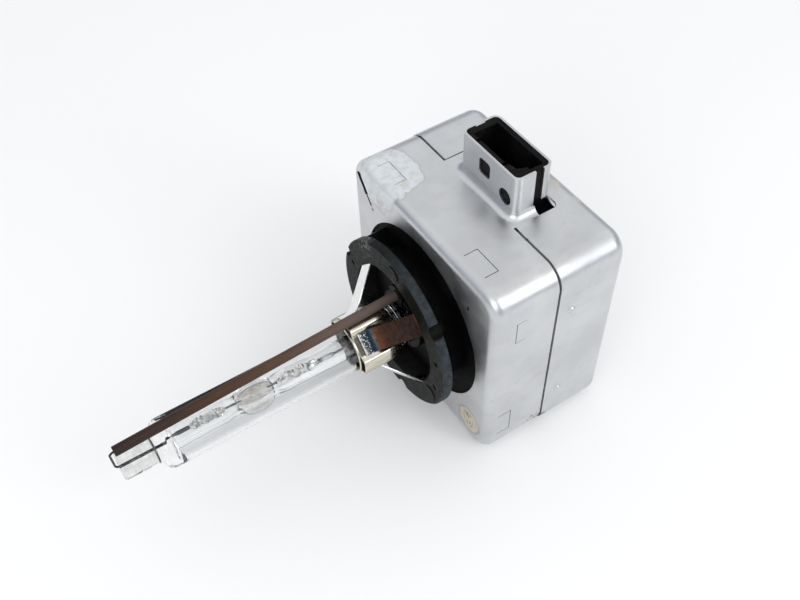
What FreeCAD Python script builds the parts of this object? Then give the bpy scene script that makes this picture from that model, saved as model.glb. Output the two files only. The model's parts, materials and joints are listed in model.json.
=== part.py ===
import FreeCAD, Part
import math
import os

# Xenon headlight bulb with the igniter in its own sheet-metal box.
# Millimetres. The origin is on the bulb's axis, at the reference plane of the cap ring.
# The bulb points along -Y, the igniter box lies along +Y and the plug socket opens upwards, along +Z.

V = FreeCAD.Vector

# ---- cap ring ----
RING_R = 16.0
RING_FACE_Y = 0.15
RING_EDGE = 0.2
RING_BACK_Y = 2.2
RING_INNER_R = 11.4
NECK_R = 12.6
BEVEL_R = 14.4
FUNNEL_FLOOR_Y = 3.4
FUNNEL_FLOOR_R = 10.2
BOSS_ANGLES = (87.0, 207.0, 327.0)
NOTCH_ANGLES = (39.0, 159.0, 279.0)
LUG_ANGLE = 143.0
SPIGOT_R = 8.0

# ---- igniter box ----
BOX_HALF = 21.0
SHEET = 0.4
BOX_FRONT_Y = 5.8
BOX_BACK_Y = 31.9
SEAM_FRONT_Y = 18.0
SEAM_REAR_Y = 18.35
SIDE_EDGE_R = 4.0
FRONT_EDGE_R = 1.85
REAR_EDGE_R = 2.2
FACE_HOLE_R = 16.75
LIP_HALF = 20.55
LIP_END_Y = 20.5
REAR_HALF = 21.15
SLIT_START = (-18.8, 18.6)
SLIT_SLOPE = 53.3

# ---- tongue and plug shroud on top of the front shield ----
TONGUE_X = (-10.45, 8.95)
TONGUE_END_Y = 27.0
NOTCH_GAP = 0.08
SHROUD_X = (-7.3, 7.5)
SHROUD_Y = (19.05, 26.4)
SHROUD_TOP_Z = 29.4
SHROUD_CORNER_R = 1.3
SHROUD_FLARE_R = 1.4

# ---- plug header inside the shroud ----
HEADER_X = (-6.87, 7.07)
HEADER_Y = (19.48, 25.97)
HEADER_Z = (20.0, 29.2)
HEADER_FLOOR = 1.8
PIN_X = (-2.9, 0.3, 3.5)
PIN_Y = (22.35, 22.95)
PIN_WIDTH = 1.5
PIN_TOP_Z = 24.9
PIN_FOOT_Z = (13.4, 14.0)

# ---- housing, lid and carrier board ----
HOUSING_HALF = 20.0
HOUSING_WALL = 1.3
HOUSING_Y = (6.2, 30.3)
HOUSING_FRONT = 1.8
LID_BACK_Y = 31.5
LID_SPIGOT = 1.0
BOARD_Y = (26.0, 27.0)
BOARD_HALF = 18.4
POST_XZ = 17.0
POST_R = 1.3
PEG_R = 0.8
LEAD_R = 0.3

# ---- bulb ----
GLASS_R = 4.35
GLASS_WALL = 0.75
GLASS_BACK_Y = 5.6
SHOULDER_Y = (-43.0, -44.6)
TAIL_R = 2.45
TAIL_END_Y = -50.9
STEM_R = 1.95
STEM_END_Y = -42.4
CAVITY_Y = (-8.6, -42.4)
ARC_CENTRE_Y = -27.1
ARC_HALF_LENGTH = 3.7
ARC_R = 2.85
CHAMBER_HALF_LENGTH = 3.3
CHAMBER_R = 1.45
ARC_GAP = 4.2
ELECTRODE_R = 0.16
FOIL = (1.5, 0.12)
REAR_FOIL_Y = (-14.8, -22.8)
FRONT_FOIL_Y = (-32.4, -38.8)
LEAD_FRONT_END_Y = -44.6
CONTACT_END_Y = 12.4

# ---- ceramic tube and return wire ----
TUBE_BACK = V(0.06, 3.6, 7.29)
TUBE_TIP = V(1.05, -50.6, 5.9)
TUBE_R = 0.875
TUBE_BORE_R = 0.25
WIRE_R = 0.18
LOOP_Y = -51.35

# ---- clamp sleeve and the four legs that carry the bulb ----
CLAMP_Y = (-9.0, -1.4)
CLAMP_RIM = 0.3
CLAMP_FLAT = 4.72
CLAMP_FLAT_HALF = 2.06
CLAMP_EAR = 5.9
CLAMP_SHEET = 0.28
LEG_WIDTH = 4.0
LEG_SHEET = 0.3
LEG_BASE = 11.3
LEG_TIP_Y = -8.1
LEG_BENDS_Y = (-5.8, 0.4)
LEG_END_Y = 4.0
LEG_ANGLES = {"right_top": 45.0, "left_top": 135.0, "left_bottom": 225.0, "right_bottom": 315.0}

# ---- transformer ----
COIL_Y = 17.3
COIL_Z = -9.4
CORE_R = 3.6
BOBBIN_R = 4.6
FLANGE_R = 8.6
FLANGE_SHEET = 0.8
FLANGE_X = (-15.0, -9.0, -3.0, 3.0, 9.0, 15.0)
WINDING_R = 7.9


def box(x, y, z):
    return Part.makeBox(x[1] - x[0], y[1] - y[0], z[1] - z[0], V(x[0], y[0], z[0]))


def rod_y(radius, y0, y1, x=0.0, z=0.0):
    low, high = min(y0, y1), max(y0, y1)
    return Part.makeCylinder(radius, high - low, V(x, low, z), V(0, 1, 0))


def rod_x(radius, x0, x1, y, z):
    return Part.makeCylinder(radius, x1 - x0, V(x0, y, z), V(1, 0, 0))


def turned(profile):
    """Solid of revolution about the Y axis from (radius, y) points."""
    points = [V(radius, y, 0) for radius, y in profile]
    face = Part.Face(Part.makePolygon(points + points[:1]))
    return face.revolve(V(0, 0, 0), V(0, 1, 0), 360)


def about_y(shape, degrees):
    """Turns a shape about the bulb's axis, from +X towards +Z."""
    turned_shape = shape.copy()
    turned_shape.rotate(V(0, 0, 0), V(0, 1, 0), -degrees)
    return turned_shape


def fuse_all(shapes):
    return shapes[0].multiFuse(shapes[1:]).removeSplitter() if len(shapes) > 1 else shapes[0]


def cut_all(shape, tools):
    return shape.cut(Part.makeCompound(tools)) if tools else shape


def edges_along(shape, axis):
    found = []
    for edge in shape.Edges:
        if len(edge.Vertexes) == 2 and edge.Curve.TypeId == "Part::GeomLine":
            way = edge.Vertexes[1].Point - edge.Vertexes[0].Point
            if way.Length > 0 and abs(abs(way.normalize().dot(axis)) - 1) < 1e-6:
                found.append(edge)
    return found


def edges_at(shape, key, value):
    return [e for e in shape.Edges if all(abs(getattr(v.Point, key) - value) < 1e-5 for v in e.Vertexes)
            and abs(getattr(e.BoundBox, key.upper() + "Length")) < 1e-4]


def rounded_box(half, y0, y1, side_r, front_r=0.0, back_r=0.0):
    """Square box about the Y axis with rounded long edges and rounded front or back edges."""
    shape = box((-half, half), (y0, y1), (-half, half))
    shape = shape.makeFillet(side_r, edges_along(shape, V(0, 1, 0)))
    if front_r:
        shape = shape.makeFillet(front_r, edges_at(shape, "y", y0))
    if back_r:
        shape = shape.makeFillet(back_r, edges_at(shape, "y", y1))
    return shape


def bent_strip(points, sheet, width):
    """Flat strip bent in the X-Y plane: points are the inner face's (x, y), the sheet lies on the left."""
    normals = []
    for (x0, y0), (x1, y1) in zip(points, points[1:]):
        length = math.hypot(x1 - x0, y1 - y0)
        normals.append((-(y1 - y0) / length, (x1 - x0) / length))
    outer = []
    for i, (x, y) in enumerate(points):
        before = normals[max(i - 1, 0)]
        after = normals[min(i, len(normals) - 1)]
        scale = sheet / (1 + before[0] * after[0] + before[1] * after[1])
        outer.append((x + (before[0] + after[0]) * scale, y + (before[1] + after[1]) * scale))
    outline = [V(x, y, -width / 2) for x, y in points + outer[::-1]]
    return Part.Face(Part.makePolygon(outline + outline[:1])).extrude(V(0, 0, width))


def straight_tube(start, end, radius):
    return Part.makeCylinder(radius, (end - start).Length, start, end - start)


def lance(x0, x1, root, end, width=0.12):
    """Three slits of a lanced tab in the X-Y plane: two run from root to end and one joins them at end."""
    low, high = min(root, end), max(root, end)
    tall = (-2.0, 2.0)
    return [
        box((x0, x0 + width), (low, high), tall),
        box((x1 - width, x1), (low, high), tall),
        box((x0, x1), (end - width / 2, end + width / 2), tall),
    ]


def front_shield():
    """Front half of the box: a drawn sheet can with a stepped lip, a tongue and the plug's shroud."""
    outer = rounded_box(BOX_HALF, BOX_FRONT_Y, SEAM_FRONT_Y, SIDE_EDGE_R, FRONT_EDGE_R)
    inner = rounded_box(BOX_HALF - SHEET, BOX_FRONT_Y + SHEET, SEAM_FRONT_Y, SIDE_EDGE_R - SHEET,
                        FRONT_EDGE_R - SHEET)
    can = outer.cut(inner)

    inset = BOX_HALF - LIP_HALF
    lip_inner = rounded_box(LIP_HALF - SHEET, SEAM_FRONT_Y - SHEET - 1, LIP_END_Y,
                            SIDE_EDGE_R - inset - SHEET)
    step = rounded_box(BOX_HALF - SHEET / 2, SEAM_FRONT_Y - SHEET, SEAM_FRONT_Y, SIDE_EDGE_R - SHEET / 2)
    lip = rounded_box(LIP_HALF, SEAM_FRONT_Y - SHEET, LIP_END_Y, SIDE_EDGE_R - inset)
    lip = lip.fuse(step).cut(lip_inner)
    relief = box((TONGUE_X[0] - 0.6, TONGUE_X[1] + 0.6), (SEAM_FRONT_Y, LIP_END_Y + 1), (19, BOX_HALF))
    lip = lip.cut(relief)

    tongue = box(TONGUE_X, (SEAM_FRONT_Y - 1, TONGUE_END_Y), (BOX_HALF - SHEET, BOX_HALF))
    corners = [e for e in edges_along(tongue, V(0, 0, 1)) if e.Vertexes[0].Point.y > TONGUE_END_Y - 0.1]
    tongue = tongue.makeFillet(1.0, corners)
    shell = fuse_all([can, lip, tongue, shroud_outside()])
    shell = cut_all(shell, [shroud_inside(), rod_y(FACE_HOLE_R, BOX_FRONT_Y - 1, BOX_FRONT_Y + 1)])
    return cut_all(shell, shroud_openings() + shield_slits())


def shroud_outside():
    body = box(SHROUD_X, SHROUD_Y, (BOX_HALF - SHEET, SHROUD_TOP_Z))
    body = body.makeFillet(SHROUD_CORNER_R, edges_along(body, V(0, 0, 1)))
    foot = flare(SHROUD_X, SHROUD_Y, SHROUD_CORNER_R, BOX_HALF, SHROUD_FLARE_R)
    over_tongue = box(TONGUE_X, (SEAM_FRONT_Y - 1, TONGUE_END_Y), (BOX_HALF, SHROUD_TOP_Z))
    return body.fuse(foot.common(over_tongue))


def shroud_inside():
    x = (SHROUD_X[0] + SHEET, SHROUD_X[1] - SHEET)
    y = (SHROUD_Y[0] + SHEET, SHROUD_Y[1] - SHEET)
    body = box(x, y, (BOX_HALF - 3, SHROUD_TOP_Z + 1))
    body = body.makeFillet(SHROUD_CORNER_R - SHEET, edges_along(body, V(0, 0, 1)))
    return body.fuse(flare(x, y, SHROUD_CORNER_R - SHEET, BOX_HALF - SHEET, SHROUD_FLARE_R + SHEET))


def flare(x, y, corner_r, z, radius):
    """Bell-mouthed foot round a rectangular tube: slabs that shrink along a quarter circle."""
    steps = 6
    slabs = []
    for i in range(steps):
        low = radius * (1 - math.cos(math.pi / 2 * i / steps))
        high = radius * (1 - math.cos(math.pi / 2 * (i + 1) / steps))
        reach_low = radius - radius * math.sin(math.acos(1 - low / radius))
        reach_high = radius - radius * math.sin(math.acos(1 - high / radius))
        slabs.append(Part.makeLoft([
            rounded_outline(x, y, corner_r, reach_low, z + low),
            rounded_outline(x, y, corner_r, reach_high, z + high),
        ], True, True))
    return fuse_all(slabs)


def rounded_outline(x, y, corner_r, reach, z):
    """Rounded rectangle grown outwards by reach, as a wire at height z."""
    r = corner_r + reach
    x0, x1 = x[0] - reach, x[1] + reach
    y0, y1 = y[0] - reach, y[1] + reach
    half = r * (1 - math.sqrt(0.5))
    corners = [
        ((x1 - r, y0), (x1 - half, y0 + half), (x1, y0 + r)),
        ((x1, y1 - r), (x1 - half, y1 - half), (x1 - r, y1)),
        ((x0 + r, y1), (x0 + half, y1 - half), (x0, y1 - r)),
        ((x0, y0 + r), (x0 + half, y0 + half), (x0 + r, y0)),
    ]
    edges = []
    for i, corner in enumerate(corners):
        start, middle, end = (V(px, py, z) for px, py in corner)
        after = V(*corners[(i + 1) % 4][0], z)
        edges.append(Part.Arc(start, middle, end).toShape())
        edges.append(Part.makeLine(end, after))
    return Part.Wire(edges)


def shroud_openings():
    right, front = SHROUD_X[1], SHROUD_Y[0]
    square = box((-2.1, 0.8), (front - 1, front + 1), (24.5, 27.6))
    square = square.makeFillet(0.7, edges_along(square, V(0, 1, 0)))
    return [
        box((right - 0.9, right + 1), (22.85, 24.45), (22.0, SHROUD_TOP_Z + 1)),
        box((right - 0.8, right + 1.4), (23.2, 26.4), (BOX_HALF - 1, 22.8)),
        box((SHROUD_X[0] - 1, SHROUD_X[0] + 0.9), (21.75, 23.6), (27.9, SHROUD_TOP_Z + 1)),
        rod_y(1.5, front - 1, front + 1, 4.85, 24.2),
        square,
    ]


def shield_slits():
    """Lanced tabs that grip the housing, and one diagonal slit with a torn end in the front face."""
    slits = []
    for x0, x1, root, end in ((9.2, 14.8, 8.1, 10.65), (-15.7, -10.2, 7.9, 10.2)):
        for slit in lance(x0, x1, root, end):
            slit.translate(V(0, 0, BOX_HALF))
            slits.append(slit)
    for x0, x1, root, end in ((-14.6, -9.7, 12.0, 10.1), (10.0, 15.7, 8.1, 10.8)):
        for slit in lance(x0, x1, root, end):
            slit.rotate(V(0, 0, 0), V(0, 1, 0), 90)
            slit.translate(V(BOX_HALF, 0, 0))
            slits.append(slit)
    for start, end, half in ((0.0, 4.2, 0.5), (4.0, 6.2, 0.2)):
        diagonal = box((start, end), (BOX_FRONT_Y - 1, BOX_FRONT_Y + 1), (-half, half))
        diagonal.rotate(V(0, 0, 0), V(0, 1, 0), SLIT_SLOPE)
        diagonal.translate(V(SLIT_START[0], 0, SLIT_START[1]))
        slits.append(diagonal)
    return slits


def rear_shield():
    """Rear half of the box: a drawn can that slides over the front half's lip."""
    outer = rounded_box(REAR_HALF, SEAM_REAR_Y, BOX_BACK_Y, SIDE_EDGE_R, 0, REAR_EDGE_R)
    inner = rounded_box(REAR_HALF - SHEET, SEAM_REAR_Y, BOX_BACK_Y - SHEET, SIDE_EDGE_R - SHEET, 0,
                        REAR_EDGE_R - SHEET)
    can = outer.cut(inner)
    notch = box((TONGUE_X[0] - NOTCH_GAP, TONGUE_X[1] + NOTCH_GAP),
                (SEAM_REAR_Y - 1, TONGUE_END_Y + NOTCH_GAP), (BOX_HALF - 2, BOX_HALF + 1))
    corners = [e for e in edges_along(notch, V(0, 0, 1)) if e.Vertexes[0].Point.y > TONGUE_END_Y]
    can = can.cut(notch.makeFillet(1.0 + NOTCH_GAP, corners))
    dimples = [Part.makeSphere(0.9, V(REAR_HALF - 0.45, 21.3, z)) for z in (10.65, -11.6)]
    dimples = [d.common(box((REAR_HALF - 0.2, REAR_HALF + 2), (19, 24), (-20, 20))) for d in dimples]
    return fuse_all([can] + dimples)


def base_ring():
    """Cap ring with its neck, the funnel the bulb stands in and the spigot that enters the housing."""
    body = turned([
        (0, FUNNEL_FLOOR_Y), (FUNNEL_FLOOR_R, FUNNEL_FLOOR_Y), (RING_INNER_R - 0.2, RING_FACE_Y + 0.4),
        (RING_INNER_R + 0.2, RING_FACE_Y), (RING_R - RING_EDGE, RING_FACE_Y),
        (RING_R, RING_FACE_Y + RING_EDGE),
        (RING_R, RING_BACK_Y - 0.5), (BEVEL_R + 0.3, RING_BACK_Y + 0.3), (BEVEL_R, RING_BACK_Y + 0.9),
        (NECK_R, RING_BACK_Y + 1.3),
        (NECK_R, HOUSING_Y[0]), (SPIGOT_R, HOUSING_Y[0]), (SPIGOT_R, HOUSING_Y[0] + HOUSING_FRONT - 0.3),
        (0, HOUSING_Y[0] + HOUSING_FRONT - 0.3),
    ])
    extras = []
    for angle in BOSS_ANGLES:
        extras.append(about_y(rod_y(1.5, 0, 1.0, 13.7), angle))
    lug = box((NECK_R - 1.5, RING_R), (RING_BACK_Y - 0.6, HOUSING_Y[0]), (-2.4, 2.4))
    extras.append(about_y(lug.common(rod_y(RING_R - 0.3, 0, HOUSING_Y[0])), LUG_ANGLE))
    collar = rod_y(GLASS_R + 1.3, 2.0, FUNNEL_FLOOR_Y + 0.5)
    boss = rod_y(1.9, 0.9, FUNNEL_FLOOR_Y + 0.5, TUBE_BACK.x, TUBE_BACK.z)
    body = fuse_all([body, collar, boss] + extras)

    cuts = [rod_y(GLASS_R, 0, GLASS_BACK_Y), rod_y(1.0, GLASS_BACK_Y - 0.1, 9)]
    for angle in NOTCH_ANGLES:
        cuts.append(about_y(rod_y(1.35, -1, RING_BACK_Y + 0.3, RING_R + 0.1), angle))
    for angle in LEG_ANGLES.values():
        pocket = box((LEG_BASE - 0.5, LEG_BASE + LEG_SHEET), (-0.5, 4.0), (-LEG_WIDTH / 2, LEG_WIDTH / 2))
        cuts.append(about_y(pocket, angle))
    for angle in (12.0, 342.0, 162.0):
        cuts.append(about_y(box((13.1, 14.0), (-1, RING_FACE_Y + 0.5), (-0.45, 0.45)), angle))
    tip = TUBE_BACK + (TUBE_TIP - TUBE_BACK) * 0.2
    cuts.append(straight_tube(TUBE_BACK, tip, TUBE_R))
    cuts.append(rod_y(WIRE_R, 0, 9, TUBE_BACK.x, TUBE_BACK.z))
    return cut_all(body, cuts)


def igniter_housing():
    """Moulded tub behind the cap ring, open at the back, with posts and cradles for the parts inside."""
    low, high = HOUSING_Y
    outer = rounded_box(HOUSING_HALF, low, high, 3.2, 1.2)
    hollow = HOUSING_HALF - HOUSING_WALL
    inner = rounded_box(hollow, low + HOUSING_FRONT, high + 1, 2.0)
    tub = outer.cut(inner)

    floor_y = low + HOUSING_FRONT
    inside = [rod_y(2.7, floor_y, 10.3)]
    for sx in (-1, 1):
        for sz in (-1, 1):
            inside.append(rod_y(POST_R, floor_y, BOARD_Y[0], sx * POST_XZ, sz * POST_XZ))
            inside.append(rod_y(PEG_R, BOARD_Y[0], BOARD_Y[1] + 0.8, sx * POST_XZ, sz * POST_XZ))
    for x in (FLANGE_X[1], FLANGE_X[-2]):
        cradle_top = COIL_Z - FLANGE_R
        inside.append(box((x - 0.6, x + 0.6), (floor_y, COIL_Y + 4), (-hollow, cradle_top)))
    tub = fuse_all([tub] + inside)

    pin_room = box((PIN_X[0] - 2, PIN_X[-1] + 2), (PIN_Y[0] - 1.2, PIN_Y[1] + 1.2),
                   (hollow - 1, HOUSING_HALF + 1))
    cuts = [pin_room, rod_y(SPIGOT_R, 0, floor_y - 0.3), rod_y(1.6, 0, 12),
            rod_y(WIRE_R, 0, 9, TUBE_BACK.x, TUBE_BACK.z)]
    return cut_all(tub, cuts)


def housing_lid():
    spigot_half = HOUSING_HALF - HOUSING_WALL
    plate = rounded_box(HOUSING_HALF, HOUSING_Y[1], LID_BACK_Y, 3.2, 0, 1.15)
    spigot = rounded_box(spigot_half, HOUSING_Y[1] - LID_SPIGOT, HOUSING_Y[1], 2.0)
    hollow = rounded_box(spigot_half - 1.2, HOUSING_Y[1] - LID_SPIGOT - 1, HOUSING_Y[1], 1.0)
    return plate.fuse(spigot.cut(hollow)).removeSplitter()


def connector_header():
    """Moulded plug header: a box with a stepped corner and a latch tongue split off its front wall."""
    body = box(HEADER_X, HEADER_Y, HEADER_Z)
    body = body.makeFillet(SHROUD_CORNER_R - SHEET, edges_along(body, V(0, 0, 1)))
    floor_z = HEADER_Z[0] + HEADER_FLOOR
    cavity = [(-5.6, 20.4), (3.2, 20.4), (3.7, 20.8), (4.9, 20.9), (5.2, 21.6), (5.5, 22.6), (6.2, 22.6),
              (6.2, 25.1), (-5.6, 25.1)]
    outline = [V(x, y, floor_z) for x, y in cavity]
    room = Part.Face(Part.makePolygon(outline + outline[:1])).extrude(V(0, 0, 12))
    cuts = [room]
    for x in ((-4.2, -3.6), (2.7, 3.2)):
        cuts.append(box(x, (HEADER_Y[0] - 1, 20.5), (23.0, HEADER_Z[1] + 1)))
    for x in PIN_X:
        cuts.append(box((x - PIN_WIDTH / 2, x + PIN_WIDTH / 2), PIN_Y, (HEADER_Z[0] - 1, floor_z + 1)))
    return cut_all(body, cuts)


def contact_pin(x):
    """Blade that stands in the header, with a foot that passes through the carrier board."""
    across = (x - PIN_WIDTH / 2, x + PIN_WIDTH / 2)
    blade = box(across, PIN_Y, (PIN_FOOT_Z[0], PIN_TOP_Z))
    top = [e for e in edges_at(blade, "z", PIN_TOP_Z) if e.BoundBox.YLength < 0.1]
    blade = blade.makeChamfer(0.22, top)
    foot = box(across, (PIN_Y[0], BOARD_Y[1] + 0.6), PIN_FOOT_Z)
    return fuse_all([blade, foot])


def outer_bulb():
    """Quartz jacket: a tube open at the back, sealed to the stem, drawn down to a solid tail at the tip."""
    body = turned([
        (STEM_R, GLASS_BACK_Y), (GLASS_R, GLASS_BACK_Y), (GLASS_R, SHOULDER_Y[0]),
        (GLASS_R - 0.25, SHOULDER_Y[0] - 0.5), (GLASS_R - 0.8, SHOULDER_Y[0] - 1.0),
        (2.95, SHOULDER_Y[1]), (TAIL_R, SHOULDER_Y[1] - 0.4), (TAIL_R, TAIL_END_Y + 0.5),
        (TAIL_R - 0.5, TAIL_END_Y), (WIRE_R, TAIL_END_Y), (WIRE_R, LEAD_FRONT_END_Y),
        (LEAD_R, LEAD_FRONT_END_Y), (LEAD_R, CAVITY_Y[1]),
        (2.2, CAVITY_Y[1]), (3.1, CAVITY_Y[1] + 0.4), (GLASS_R - GLASS_WALL, CAVITY_Y[1] + 1.3),
        (GLASS_R - GLASS_WALL, CAVITY_Y[0] - 1.2), (3.1, CAVITY_Y[0] - 0.35), (STEM_R, CAVITY_Y[0]),
    ])
    return body


def arc_tube():
    """Quartz arc tube: a long stem with the discharge bulb blown in it and bores for the leads."""
    stem = rod_y(STEM_R, GLASS_BACK_Y, STEM_END_Y)
    body = stem.fuse(egg(ARC_R, ARC_HALF_LENGTH))
    chamber = egg(CHAMBER_R, CHAMBER_HALF_LENGTH)
    cuts = [chamber, foil(REAR_FOIL_Y), foil(FRONT_FOIL_Y),
            rod_y(LEAD_R, GLASS_BACK_Y + 1, REAR_FOIL_Y[0]),
            rod_y(LEAD_R, FRONT_FOIL_Y[1], STEM_END_Y - 1),
            rod_y(ELECTRODE_R, REAR_FOIL_Y[1], FRONT_FOIL_Y[0])]
    return cut_all(body, cuts)


def egg(radius, half_length):
    """Ellipsoid about the bulb's axis at the light centre."""
    half = Part.Arc(Part.Ellipse(V(0, 0, 0), half_length, radius), math.pi, 2 * math.pi).toShape()
    half.rotate(V(0, 0, 0), V(0, 0, 1), 90)
    half.translate(V(0, ARC_CENTRE_Y, 0))
    axis = Part.makeLine(half.Vertexes[1].Point, half.Vertexes[0].Point)
    return Part.Face(Part.Wire([half, axis])).revolve(V(0, 0, 0), V(0, 1, 0), 360)


def foil(y):
    return box((-FOIL[0] / 2, FOIL[0] / 2), (min(y), max(y)), (-FOIL[1] / 2, FOIL[1] / 2))


def electrode(foil_end_y, side):
    """Tungsten rod from the foil into the discharge chamber; side is +1 at the back and -1 at the tip."""
    tip_y = ARC_CENTRE_Y + side * ARC_GAP / 2
    return rod_y(ELECTRODE_R, foil_end_y, tip_y)


def return_wire():
    """Wire through the ceramic tube, round a loop at the tip and back along the axis into the glass tail."""
    way = (TUBE_TIP - TUBE_BACK).normalize()
    start = V(TUBE_BACK.x, 9.6, TUBE_BACK.z)
    past = TUBE_TIP + way * 0.2
    legs = [
        straight_tube(start, TUBE_BACK, WIRE_R),
        straight_tube(TUBE_BACK, past, WIRE_R),
    ]
    corner = V(past.x, LOOP_Y, past.z)
    low_corner = V(0, LOOP_Y, 0)
    legs.append(straight_tube(past, corner, WIRE_R))
    legs.append(straight_tube(corner, low_corner, WIRE_R))
    legs.append(straight_tube(low_corner, V(0, LEAD_FRONT_END_Y, 0), WIRE_R))
    joints = [Part.makeSphere(WIRE_R, point) for point in (TUBE_BACK, past, corner, low_corner)]
    return fuse_all(legs + joints)


def ceramic_tube():
    tube = straight_tube(TUBE_BACK, TUBE_TIP, TUBE_R)
    way = (TUBE_TIP - TUBE_BACK).normalize()
    bore = straight_tube(TUBE_BACK - way, TUBE_TIP + way, TUBE_BORE_R)
    return tube.cut(bore)


def clamp_sleeve():
    """Folded sheet sleeve round the jacket: four flats that carry the legs and four ears between them."""
    near = (CLAMP_FLAT + CLAMP_FLAT_HALF) / math.sqrt(2)
    far = (CLAMP_FLAT - CLAMP_FLAT_HALF) / math.sqrt(2)
    outline = []
    for quarter in range(4):
        angle = math.radians(90 * quarter)
        for x, z in ((CLAMP_EAR, -1.6), (CLAMP_EAR, 1.6), (near, far), (far, near)):
            outline.append(V(x * math.cos(angle) - z * math.sin(angle), CLAMP_Y[0],
                             x * math.sin(angle) + z * math.cos(angle)))
    wire = Part.makePolygon(outline + outline[:1])
    solid = Part.Face(wire).extrude(V(0, CLAMP_Y[1] - CLAMP_Y[0], 0))
    hollow = Part.Face(wire.makeOffset2D(-CLAMP_SHEET)).extrude(V(0, CLAMP_Y[1] - CLAMP_Y[0], 0))
    solid = solid.makeFillet(0.3, edges_along(solid, V(0, 1, 0)))
    sleeve = solid.cut(hollow)
    rim = rod_y(GLASS_R + 0.33, CLAMP_Y[0] - CLAMP_RIM, CLAMP_Y[0] + CLAMP_RIM)
    slope = box((3, 8), (CLAMP_Y[1] - 1.4, CLAMP_Y[1] + 3), (-4, 4))
    slope.rotate(V(CLAMP_EAR, CLAMP_Y[1] - 0.7, 0), V(1, 0, 0), 24)
    return sleeve.fuse(rim).cut(rod_y(GLASS_R, -12, 2)).cut(slope).removeSplitter()


def support_leg(angle):
    """Bent strip: held in a pocket of the ring, sloped inwards and welded on a flat of the sleeve."""
    welded = [(CLAMP_FLAT, LEG_TIP_Y), (CLAMP_FLAT, LEG_BENDS_Y[0])]
    pocketed = [(LEG_BASE, LEG_BENDS_Y[1]), (LEG_BASE, LEG_END_Y)]
    profile = welded + pocketed
    return about_y(bent_strip(profile[::-1], LEG_SHEET, LEG_WIDTH), angle)


def ferrite_core():
    return rod_x(CORE_R, FLANGE_X[0] - 0.8, FLANGE_X[-1] + 0.8, COIL_Y, COIL_Z)


def coil_bobbin():
    ends = (FLANGE_X[0] - FLANGE_SHEET / 2, FLANGE_X[-1] + FLANGE_SHEET / 2)
    body = [rod_x(BOBBIN_R, ends[0], ends[1], COIL_Y, COIL_Z)]
    for x in FLANGE_X:
        body.append(rod_x(FLANGE_R, x - FLANGE_SHEET / 2, x + FLANGE_SHEET / 2, COIL_Y, COIL_Z))
    shape = fuse_all(body).cut(rod_x(CORE_R, ends[0] - 1, ends[1] + 1, COIL_Y, COIL_Z))
    notch = box((FLANGE_X[1] + 1, FLANGE_X[-1] - 1), (COIL_Y - 0.6, COIL_Y + 0.6),
                (COIL_Z + 5.4, COIL_Z + FLANGE_R))
    return shape.cut(notch)


def secondary_winding():
    """Many fine turns in four chambers of the bobbin, joined where the wire crosses the flanges."""
    half = FLANGE_SHEET / 2
    sections = []
    for x0, x1 in zip(FLANGE_X[1:], FLANGE_X[2:]):
        sections.append(rod_x(WINDING_R, x0 + half, x1 - half, COIL_Y, COIL_Z))
    links = box((FLANGE_X[1] + 1, FLANGE_X[-1] - 1), (COIL_Y - 0.4, COIL_Y + 0.4),
                (COIL_Z + 5.6, COIL_Z + 6.4))
    body = fuse_all(sections + [links])
    return body.cut(rod_x(BOBBIN_R, FLANGE_X[0], FLANGE_X[-1], COIL_Y, COIL_Z))


def primary_winding():
    """Few turns of thick wire in the first chamber of the bobbin, joined where the wire crosses over."""
    turns, wire_r, pitch = 3, 0.5, 1.3
    radius = BOBBIN_R + wire_r
    first_x = FLANGE_X[0] + FLANGE_SHEET / 2 + wire_r + 0.6
    last_x = first_x + (turns - 1) * pitch
    body = [rod_x(wire_r * 0.7, first_x, last_x, COIL_Y, COIL_Z + radius)]
    for turn in range(turns):
        body.append(Part.makeTorus(radius, wire_r, V(first_x + turn * pitch, COIL_Y, COIL_Z), V(1, 0, 0)))
    return fuse_all(body)


def spark_gap():
    body = [rod_y(3.8, 12.0, 18.0, -11.0, 8.6), rod_y(3.2, 11.2, 18.8, -11.0, 8.6)]
    body.append(rod_y(LEAD_R, 18.8, BOARD_Y[1] + 0.6, -11.0, 8.6))
    return fuse_all(body)


def capacitor():
    body = box((4.6, 17.4), (9.0, 19.6), (5.0, 15.4))
    body = body.makeFillet(0.8, body.Edges)
    leads = [rod_y(LEAD_R, 18.0, BOARD_Y[1] + 0.6, x, 10.2) for x in (7.0, 15.0)]
    return fuse_all([body] + leads)


def bleeder_resistor():
    body = rod_x(1.5, -13.5, -6.5, 22.6, 3.2)
    wires = [rod_x(LEAD_R, -15.0, -5.0, 22.6, 3.2)]
    for x in (-15.0, -5.0):
        wires.append(rod_y(LEAD_R, 22.6, BOARD_Y[1] + 0.6, x, 3.2))
        wires.append(Part.makeSphere(LEAD_R, V(x, 22.6, 3.2)))
    return fuse_all([body] + wires)


def carrier_board():
    """Insulating board on the housing's posts: every lead inside the box ends here."""
    board = rounded_box(BOARD_HALF, BOARD_Y[0], BOARD_Y[1], 1.6)
    cuts = []
    for sx in (-1, 1):
        for sz in (-1, 1):
            cuts.append(rod_y(PEG_R, 20, 30, sx * POST_XZ, sz * POST_XZ))
    for x, z in ((-11.0, 8.6), (7.0, 10.2), (15.0, 10.2), (-15.0, 3.2), (-5.0, 3.2)):
        cuts.append(rod_y(LEAD_R, 20, 30, x, z))
    for x in PIN_X:
        cuts.append(box((x - PIN_WIDTH / 2, x + PIN_WIDTH / 2), (20, 30), PIN_FOOT_Z))
    return cut_all(board, cuts)


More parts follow.
